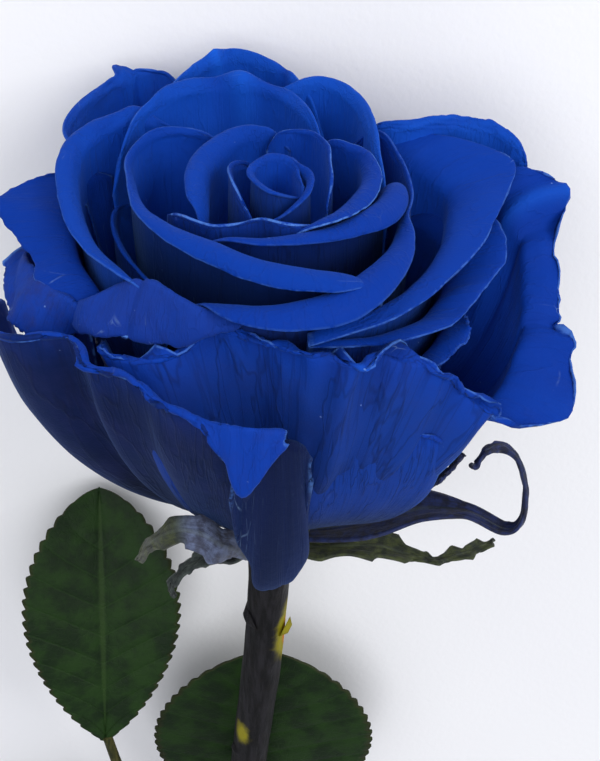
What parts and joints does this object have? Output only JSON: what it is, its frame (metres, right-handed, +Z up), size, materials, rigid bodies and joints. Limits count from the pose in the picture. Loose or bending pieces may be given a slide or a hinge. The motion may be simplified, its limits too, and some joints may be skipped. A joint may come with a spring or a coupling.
{
  "type": "preserved rose",
  "caption": "Preserved garden rose lying on its side: a blue bloom of layered petals with rolled lips, dark calyx, cut stem with prickles and serrated leaves.",
  "frame": {"origin": "on the surface the rose lies on, under the middle of its bounding box", "axes": "+Y runs along the stem from the bloom to the cut end, +Z points up off the surface, and X runs across"},
  "size_m": [0.101, 0.2504, 0.0625],
  "materials": {
    "blue_petal": "velvet matte",
    "dark_sepal": "dull, dried",
    "charcoal_stem": "dull, dried",
    "dark_green_leaf": "satin"
  },
  "bodies": {
    "root": {"bloom": "blue_petal", "calyx": "dark_sepal", "stem": "charcoal_stem", "leaf_left": "dark_green_leaf", "leaf_lower": "dark_green_leaf"}
  },
  "joints": []
}
